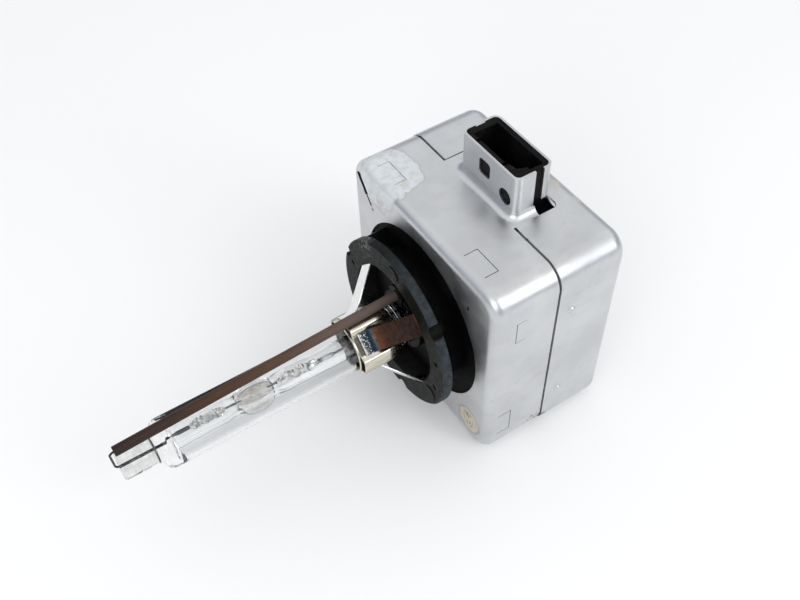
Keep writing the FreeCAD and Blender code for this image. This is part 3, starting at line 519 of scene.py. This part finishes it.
def soften(obj, width, segments=2, angle=35, smooth=35):
    """Rounds every edge sharper than angle by width, in millimetres."""
    bevel = obj.modifiers.new("edges", "BEVEL")
    bevel.width = width * MM
    bevel.segments = segments
    bevel.limit_method = "ANGLE"
    bevel.angle_limit = math.radians(angle)
    bevel.use_clamp_overlap = True
    bevel.miter_outer = "MITER_ARC"
    settle(obj, smooth)
    weighted = obj.modifiers.new("normals", "WEIGHTED_NORMAL")
    weighted.keep_sharp = True
    return obj


def refined(name, node, width, segments=2, angle=32, smooth=35):
    """The CAD node's own shape with its coplanar triangles joined and its sharp edges rounded."""
    bm = bmesh.new()
    bm.from_mesh(frame["nodes"][node].data)
    for vertex in bm.verts:
        vertex.co /= MM
    bmesh.ops.remove_doubles(bm, verts=bm.verts, dist=0.002)
    bmesh.ops.dissolve_limit(bm, angle_limit=math.radians(0.8), verts=bm.verts, edges=bm.edges)
    obj = add_piece(name, bm, [node], smooth=smooth)
    return soften(obj, width, segments, angle, smooth)


def turned(bm, profile, segments):
    """Closed (radius, y) profile turned about the Y axis; points on the axis become poles."""
    loops = []
    for radius, y in profile:
        if radius < 1e-6:
            loops.append([bm.verts.new((0, y, 0))])
            continue
        turn = [2 * math.pi * i / segments for i in range(segments)]
        loops.append([bm.verts.new((radius * math.cos(a), y, radius * math.sin(a))) for a in turn])
    for first, second in zip(loops, loops[1:] + loops[:1]):
        if len(first) == 1 and len(second) == 1:
            continue
        for i in range(segments):
            j = (i + 1) % segments
            corners = [first[i % len(first)], first[j % len(first)],
                       second[j % len(second)], second[i % len(second)]]
            bm.faces.new(list(dict.fromkeys(corners)))


def lathe(name, profile, nodes, segments=96, smooth=35):
    bm = bmesh.new()
    turned(bm, profile, segments)
    return add_piece(name, bm, nodes, smooth=smooth)


def rounded_path(points, radii, steps=6):
    """Open polyline with each inner corner replaced by a short arc-like curve of its own radius."""
    path = [Vector(points[0])]
    for before, corner, after, radius in zip(points, points[1:], points[2:], radii):
        before, corner, after = Vector(before), Vector(corner), Vector(after)
        reach = min(radius, (corner - before).length * 0.48, (after - corner).length * 0.48)
        start = corner + (before - corner).normalized() * reach
        end = corner + (after - corner).normalized() * reach
        for i in range(steps + 1):
            t = i / steps
            path.append(start * (1 - t) ** 2 + corner * 2 * t * (1 - t) + end * t ** 2)
    path.append(Vector(points[-1]))
    return path


def arc_profile(centre, radius, start, end, steps):
    """Points of an arc in the (radius, y) plane; angles in degrees."""
    points = []
    for i in range(steps + 1):
        a = math.radians(start + (end - start) * i / steps)
        points.append((centre[0] + radius * math.cos(a), centre[1] + radius * math.sin(a)))
    return points


def sweep(bm, path, radius, segments=24):
    """Round wire along a smooth path, closed by domed ends."""
    path = [Vector(point) for point in path]
    ways = [(b - a).normalized() for a, b in zip(path, path[1:])]
    ways = [ways[0]] + [(a + b).normalized() for a, b in zip(ways, ways[1:])] + [ways[-1]]
    across = ways[0].orthogonal().normalized()
    rings = []
    for point, way in zip(path, ways):
        across = (across - way * across.dot(way)).normalized()
        other = way.cross(across)
        rings.append((point, way, across, other, radius))
    dome = [(0.9, 0.45), (0.55, 0.85)]
    start, end = rings[0], rings[-1]
    for scale, reach in dome:
        rings.insert(0, (start[0] - start[1] * radius * reach * 0.5, *start[1:4], radius * scale))
        rings.append((end[0] + end[1] * radius * reach * 0.5, *end[1:4], radius * scale))
    loops = []
    for point, way, across, other, r in rings:
        turn = [2 * math.pi * i / segments for i in range(segments)]
        loops.append([bm.verts.new(point + across * r * math.cos(a) + other * r * math.sin(a)) for a in turn])
    for first, second in zip(loops, loops[1:]):
        for i in range(segments):
            j = (i + 1) % segments
            bm.faces.new((first[i], first[j], second[j], second[i]))
    bm.faces.new(loops[0][::-1])
    bm.faces.new(loops[-1])


def strip(bm, path, half, sheet):
    """Bent sheet strip: path runs in the X-Y plane along its middle, half is its half width along Z."""
    ways = [(b - a).normalized() for a, b in zip(path, path[1:])]
    ways = [ways[0]] + [(a + b).normalized() for a, b in zip(ways, ways[1:])] + [ways[-1]]
    loops = []
    for point, way in zip(path, ways):
        out = Vector((-way.y, way.x, 0)) * sheet / 2
        side = Vector((0, 0, half))
        loops.append([bm.verts.new(point + out - side), bm.verts.new(point + out + side),
                      bm.verts.new(point - out + side), bm.verts.new(point - out - side)])
    for first, second in zip(loops, loops[1:]):
        for i in range(4):
            j = (i + 1) % 4
            bm.faces.new((first[i], first[j], second[j], second[i]))
    bm.faces.new(loops[0][::-1])
    bm.faces.new(loops[-1])


def turn_about_bulb(bm, degrees):
    matrix = Matrix.Rotation(math.radians(-degrees), 3, "Y")
    bmesh.ops.rotate(bm, verts=bm.verts, cent=(0, 0, 0), matrix=matrix)


def rough_step(i, j, seed):
    """Repeatable value between -1 and 1 for a grid corner."""
    value = math.sin(i * 12.9898 + j * 78.233 + seed * 37.719) * 43758.5453
    return 2 * (value - math.floor(value)) - 1


# ---------------------------------------------------------------- box, ring and plug header

refined("front_shield_sheet", "front_shield", 0.09)
refined("rear_shield_sheet", "rear_shield", 0.09)
refined("cap_ring_moulding", "base_ring", 0.12, 2)
refined("plug_header_moulding", "connector_header", 0.12, 2)


# ---------------------------------------------------------------- glass

JACKET_LOW, JACKET_HIGH = span("outer_bulb")
ARC_LOW, ARC_HIGH = span("arc_tube")
JACKET_R = JACKET_HIGH.x
JACKET_BORE_R = JACKET_R - 0.75
JACKET_BACK_Y = JACKET_HIGH.y
TAIL_END_Y = JACKET_LOW.y
TAIL_R = 2.45
ARC_R = ARC_HIGH.x
STEM_R = 1.95
STEM_END_Y = ARC_LOW.y
CAVITY_BACK_Y = -8.6
LIGHT_CENTRE_Y = -27.1
ARC_HALF = 3.45
CHAMBER_R = 1.45
CHAMBER_HALF = 3.3
SEAM = 0.02


def ribs(y0, y1, pitch, depth):
    """Uneven ripples on the outside of the jacket between two places along it."""
    points = []
    count = int((y1 - y0) / pitch) * 8
    for i in range(count + 1):
        y = y1 + (y0 - y1) * i / count
        wave = math.sin(2 * math.pi * y / pitch) * 0.6 + math.sin(2 * math.pi * y / (pitch * 1.7)) * 0.4
        points.append((JACKET_R - depth * (1 + wave), y))
    return points


def jacket():
    outside = [(JACKET_R - 0.12, JACKET_BACK_Y), (JACKET_R, JACKET_BACK_Y - 0.12)]
    outside += ribs(-2.4, 3.2, 0.86, 0.11)
    outside += [(JACKET_R, -3.0), (JACKET_R, -42.9)]
    outside += arc_profile((JACKET_R - 1.5, -42.9), 1.5, 0, -75, 10)
    outside += [(2.85, -44.5), (2.58, -44.8), (TAIL_R, -45.3)]
    for groove_y in (-46.3, -47.9):
        outside += [(TAIL_R, groove_y + 0.22), (TAIL_R - 0.14, groove_y), (TAIL_R, groove_y - 0.22)]
    outside += arc_profile((TAIL_R - 0.5, TAIL_END_Y + 0.5), 0.5, 0, -90, 5)
    front = arc_profile((2.0, -40.8), JACKET_BORE_R - 2.0, -80, 0, 10)
    back = [(JACKET_BORE_R, -10.4), (JACKET_BORE_R - 0.15, -9.7), (3.3, -9.1), (2.5, -8.8),
            (STEM_R + SEAM, CAVITY_BACK_Y)]
    rear_bore = [(STEM_R + SEAM, JACKET_BACK_Y)]
    profile = outside + [(0, TAIL_END_Y), (0, STEM_END_Y)] + front + back + rear_bore
    lathe("glass_jacket", profile, ["outer_bulb"], 128, 50)


def arc_bulb():
    """Stem with thinner necks on both sides of the blown bulb, and the chamber inside it."""
    outside = [(0, JACKET_BACK_Y), (STEM_R, JACKET_BACK_Y), (STEM_R, -12.0)]
    neck = [(1.88, -14.0), (1.80, -19.0), (1.86, -21.6), (1.72, -22.9), (1.50, -23.6), (1.62, -24.1)]
    outside += neck
    for i in range(1, 24):
        a = math.pi * i / 24
        radius = ARC_R * math.sin(a) ** 0.8
        if radius > 1.75:
            outside.append((radius, LIGHT_CENTRE_Y + ARC_HALF * math.cos(a)))
    outside += [(1.62, -30.3), (1.45, -30.8), (1.60, -31.5), (1.84, -32.6), (1.78, -36.0), (1.90, -40.5)]
    outside += [(STEM_R, -42.0), (STEM_R - 0.1, STEM_END_Y + SEAM), (0, STEM_END_Y + SEAM)]
    bm = bmesh.new()
    turned(bm, outside, 96)
    turn = [math.pi * i / 24 for i in range(25)]
    chamber = [(CHAMBER_R * math.sin(a), LIGHT_CENTRE_Y + CHAMBER_HALF * math.cos(a)) for a in turn]
    first = len(bm.faces)
    bmesh.ops.recalc_face_normals(bm, faces=bm.faces)
    bm.faces.ensure_lookup_table()
    turned(bm, chamber, 64)
    bm.faces.ensure_lookup_table()
    inside = bm.faces[first:]
    bmesh.ops.recalc_face_normals(bm, faces=inside)
    bmesh.ops.reverse_faces(bm, faces=inside)
    add_piece("arc_tube_glass", bm, ["arc_tube"], smooth=50, turn_normals=False)


def foil(name, node, seed):
    """Thin crumpled ribbon between the lead and the electrode."""
    rows, columns, sheet = 26, 6, 0.05
    low_corner, high_corner = span(node)
    y0, y1, half = high_corner.y, low_corner.y, high_corner.x - 0.01
    bm = bmesh.new()
    layers = []
    for side in (-1, 1):
        grid = []
        for i in range(rows + 1):
            t = i / rows
            pinch = min(1.0, 0.3 + 5 * t, 0.3 + 5 * (1 - t))
            line = []
            for j in range(columns + 1):
                across = (2 * j / columns - 1) * half * pinch * (1 - 0.14 * abs(rough_step(i, 3, seed)))
                lift = 0.16 * rough_step(i, j, seed) + 0.14 * math.sin(5.5 * t * math.pi + seed)
                line.append(bm.verts.new((across, y0 + (y1 - y0) * t, lift * pinch + side * sheet / 2)))
            grid.append(line)
        layers.append(grid)
    low, high = layers
    for grid in (low, high):
        for i in range(rows):
            for j in range(columns):
                bm.faces.new((grid[i][j], grid[i][j + 1], grid[i + 1][j + 1], grid[i + 1][j]))
    for i in range(rows):
        for j in (0, columns):
            bm.faces.new((low[i][j], high[i][j], high[i + 1][j], low[i + 1][j]))
    for j in range(columns):
        for i in (0, rows):
            bm.faces.new((low[i][j], low[i][j + 1], high[i][j + 1], high[i][j]))
    add_piece(name, bm, [node], smooth=22)


def lead_rear():
    profile = [(0, 10.0), (0.3, 10.0), (0.3, -8.6), (0.17, -9.4), (0.15, -12.1), (0.29, -12.4), (0.3, -14.2),
               (0.24, -14.6), (0.26, -14.8), (0.22, -15.1), (0, -15.2)]
    lathe("rear_lead_wire", profile, ["lead_rear"], 32, 40)


def lead_front():
    profile = [(0, -38.6), (0.22, -38.7), (0.3, -39.0), (0.3, -41.2), (0.2, -41.6), (0.18, -44.6), (0, -44.6)]
    lathe("front_lead_wire", profile, ["lead_front"], 32, 40)


jacket()
arc_bulb()
foil("rear_foil_ribbon", "foil_rear", 1)
foil("front_foil_ribbon", "foil_front", 2)
lead_rear()
lead_front()


# ---------------------------------------------------------------- ceramic tube and return wire

TUBE_BACK = Vector((0.06, 3.6, 7.29))
TUBE_TIP = Vector((1.05, -50.6, 5.9))
TUBE_R = 0.875
TUBE_BORE_R = 0.25
WIRE_R = 0.18
LOOP_Y = -51.35
LOOP_BEND = 1.3


def ceramic_tube():
    length = (TUBE_TIP - TUBE_BACK).length
    edge = 0.12
    profile = [(TUBE_BORE_R, 0), (TUBE_R - edge, 0), (TUBE_R, edge), (TUBE_R, length * 0.5),
               (TUBE_R, length - edge),
               (TUBE_R - edge, length), (TUBE_BORE_R + 0.05, length)]
    bm = bmesh.new()
    turned(bm, profile, 64)
    spin = Vector((0, 1, 0)).rotation_difference(TUBE_TIP - TUBE_BACK)
    bmesh.ops.transform(bm, matrix=Matrix.Translation(TUBE_BACK) @ spin.to_matrix().to_4x4(), verts=bm.verts)
    add_piece("ceramic_sleeve", bm, ["ceramic_tube"], smooth=50)


def return_wire():
    way = (TUBE_TIP - TUBE_BACK).normalized()
    past = TUBE_TIP + way * 0.1
    corners = [(TUBE_BACK.x, 9.6, TUBE_BACK.z), TUBE_BACK, past, (past.x, LOOP_Y, past.z - 0.35),
               (0, LOOP_Y, 0), (0, -44.6, 0)]
    path = rounded_path(corners, [LOOP_BEND] * (len(corners) - 2), 8)
    bm = bmesh.new()
    sweep(bm, path, WIRE_R, 20)
    add_piece("return_wire_loop", bm, ["return_wire"], smooth=50)


ceramic_tube()
return_wire()


# ---------------------------------------------------------------- clamp sleeve and legs

CLAMP_LOW, CLAMP_HIGH = span("clamp_sleeve")
CLAMP_RIM = 0.3
CLAMP_Y = (CLAMP_LOW.y + CLAMP_RIM, CLAMP_HIGH.y)
CLAMP_SHEET = 0.28
CLAMP_FLAT = 4.72
CLAMP_FLAT_HALF = 2.06
CLAMP_EAR = CLAMP_HIGH.x
CLAMP_EAR_HALF = 1.6
EAR_FOOT_R = 4.9
EAR_DROOP = 0.5
EAR_DROOP_FROM = 0.75
LEG_SHEET = 0.3
LEG_HALF = 2.0
LEG_TIP_Y = -8.1
LEG_BASE = 11.3
LEG_BENDS_Y = (-5.8, 0.4)
LEG_END_Y = 4.0
LEG_ANGLES = {"right_top": 45, "left_top": 135, "left_bottom": 225, "right_bottom": 315}


def clamp_outline():
    """Middle line of the folded sheet round the glass: four flats for the legs, four rounded ears between."""
    near = (CLAMP_FLAT + CLAMP_FLAT_HALF) / math.sqrt(2)
    far = (CLAMP_FLAT - CLAMP_FLAT_HALF) / math.sqrt(2)
    corners = []
    for quarter in range(4):
        spin = Matrix.Rotation(math.radians(90 * quarter), 2)
        for point in ((CLAMP_EAR, -CLAMP_EAR_HALF), (CLAMP_EAR, CLAMP_EAR_HALF), (near, far), (far, near)):
            corners.append(spin @ Vector(point))
    line = []
    for i, corner in enumerate(corners):
        before, after = corners[i - 1], corners[(i + 1) % len(corners)]
        reach = 1.45 if i % 4 < 2 else 0.55
        start = corner + (before - corner).normalized() * min(reach, (before - corner).length * 0.45)
        end = corner + (after - corner).normalized() * min(reach, (after - corner).length * 0.45)
        for step in range(7):
            t = step / 6
            line.append(start * (1 - t) ** 2 + corner * 2 * t * (1 - t) + end * t * t)
    return line


def clamp():
    line = clamp_outline()
    count = len(line)
    edge = 0.07
    length = CLAMP_Y[1] - CLAMP_Y[0]
    stations = [(0.0, edge), (edge / length, 0.0)] + [(t / 8, 0.0) for t in range(1, 8)]
    stations += [(1 - edge / length, 0.0), (1.0, edge)]
    bm = bmesh.new()
    outer, inner = [], []
    for loops, inset, side in ((outer, 0.0, 1), (inner, CLAMP_SHEET, -1)):
        for t, rounding in stations:
            ring = []
            for i, point in enumerate(line):
                tangent = (line[(i + 1) % count] - line[i - 1]).normalized()
                out = Vector((tangent.y, -tangent.x))
                ear = max(0.0, (point.length - EAR_FOOT_R) / (CLAMP_EAR - EAR_FOOT_R))
                droop = EAR_DROOP * ear * max(0.0, t - EAR_DROOP_FROM) / (1 - EAR_DROOP_FROM)
                place = point - out * (inset + side * rounding + droop)
                ring.append(bm.verts.new((place.x, CLAMP_Y[0] + length * t, place.y)))
            loops.append(ring)
    closed = outer + inner[::-1]
    for first, second in zip(closed, closed[1:] + closed[:1]):
        for i in range(count):
            j = (i + 1) % count
            bm.faces.new((first[i], first[j], second[j], second[i]))
    rim_y = CLAMP_LOW.y
    rim = [(JACKET_R + 0.03, rim_y), (JACKET_R + 0.2, rim_y), (JACKET_R + 0.33, rim_y + 0.15),
           (JACKET_R + 0.33, CLAMP_Y[0] + CLAMP_RIM), (JACKET_R + 0.03, CLAMP_Y[0] + CLAMP_RIM)]
    turned(bm, rim, 96)
    add_piece("clamp_sleeve_sheet", bm, ["clamp_sleeve"], smooth=40)


def leg(name, angle):
    middle = LEG_SHEET / 2
    corners = [(CLAMP_FLAT, LEG_TIP_Y), (CLAMP_FLAT, LEG_BENDS_Y[0]),
               (LEG_BASE, LEG_BENDS_Y[1]), (LEG_BASE, LEG_END_Y)]
    bends = rounded_path([(r + middle, y, 0) for r, y in corners], (1.2, 0.4), 8)
    bm = bmesh.new()
    strip(bm, bends, LEG_HALF, LEG_SHEET)
    turn_about_bulb(bm, angle)
    soften(add_piece("leg_strip_" + name, bm, ["leg_" + name]), 0.05, 2)


clamp()
for leg_name, leg_angle in LEG_ANGLES.items():
    leg(leg_name, leg_angle)


# ---------------------------------------------------------------- stage

def look_at(obj, target):
    obj.rotation_mode = "QUATERNION"
    obj.rotation_quaternion = (target - obj.location).to_track_quat("-Z", "Y")


def make_floor():
    low, high = cad_box
    bm = bmesh.new()
    size = 2.5
    for x in (-size, size):
        for y in (-size, size):
            bm.verts.new((x, y, low.z - 0.00002))
    order = [bm.verts[:][i] for i in (0, 2, 3, 1)]
    bm.faces.new(order)
    mesh = bpy.data.meshes.new("floor")
    bm.to_mesh(mesh)
    bm.free()
    floor = bpy.data.objects.new("floor", mesh)
    bpy.context.scene.collection.objects.link(floor)
    s = Surface("floor_paper")
    s.set(Base_Color=s.mix(s.noise(0.004, 2.0), (0.89, 0.89, 0.89), (0.93, 0.93, 0.93)), Roughness=0.9)
    mesh.materials.append(s.material)


def make_light(name, place, target, size, power, colour=(1, 1, 1)):
    data = bpy.data.lights.new(name, "AREA")
    data.shape = "RECTANGLE"
    data.size, data.size_y = size
    data.energy = power
    data.color = colour
    light = bpy.data.objects.new(name, data)
    light.location = Vector(place)
    bpy.context.scene.collection.objects.link(light)
    look_at(light, Vector(target))


def make_world():
    """Soft room: white overhead, dimmer and bluish near the horizon."""
    world = bpy.data.worlds.new("studio")
    bpy.context.scene.world = world
    world.use_nodes = True
    tree = world.node_tree
    coords = tree.nodes.new("ShaderNodeTexCoord")
    split = tree.nodes.new("ShaderNodeSeparateXYZ")
    ramp = tree.nodes.new("ShaderNodeValToRGB")
    tree.links.new(coords.outputs["Generated"], split.inputs[0])
    tree.links.new(split.outputs["Z"], ramp.inputs[0])
    tree.links.new(ramp.outputs[0], tree.nodes["Background"].inputs["Color"])
    stops = [(0.0, (0.26, 0.29, 0.33)), (0.18, (0.34, 0.37, 0.42)), (0.45, (0.74, 0.77, 0.81)),
             (0.75, (1.0, 1.0, 1.0))]
    while len(ramp.color_ramp.elements) < len(stops):
        ramp.color_ramp.elements.new(0.5)
    for element, (position, colour) in zip(ramp.color_ramp.elements, stops):
        element.position = position
        element.color = (*colour, 1)
    tree.nodes["Background"].inputs["Strength"].default_value = WORLD_STRENGTH


def make_camera():
    azimuth, elevation, roll = (math.radians(angle) for angle in CAMERA_ANGLES)
    back = Vector((math.sin(azimuth) * math.cos(elevation), -math.cos(azimuth) * math.cos(elevation),
                   math.sin(elevation)))
    right = Vector((math.cos(azimuth), math.sin(azimuth), 0))
    up = back.cross(right)
    turned_right = right * math.cos(roll) + up * math.sin(roll)
    turned_up = up * math.cos(roll) - right * math.sin(roll)
    target = Vector(CAMERA_TARGET) * MM
    data = bpy.data.cameras.new("camera")
    data.lens = CAMERA_LENS
    data.clip_start = 0.005
    camera = bpy.data.objects.new("camera", data)
    turn = Matrix((turned_right, turned_up, back)).transposed()
    camera.matrix_world = Matrix.Translation(target + back * CAMERA_DISTANCE * MM) @ turn.to_4x4()
    bpy.context.scene.collection.objects.link(camera)
    bpy.context.scene.camera = camera


WORLD_STRENGTH = 1.0
STAGE_CENTRE = (0.0, 0.01, 0.0)
CAMERA_ANGLES = (58.726, 50.381, -2.28)
CAMERA_TARGET = (-3.878, 4.177, -0.209)
CAMERA_DISTANCE = 164.662
CAMERA_LENS = 41.379

make_floor()
make_world()
make_light("key_softbox", (0.36, -0.46, 0.36), STAGE_CENTRE, (0.42, 0.42), 1.2)
make_light("side_softbox", (0.42, 0.20, 0.32), STAGE_CENTRE, (0.20, 0.40), 0.7)
make_camera()
bpy.context.scene.view_settings.view_transform = "Standard"
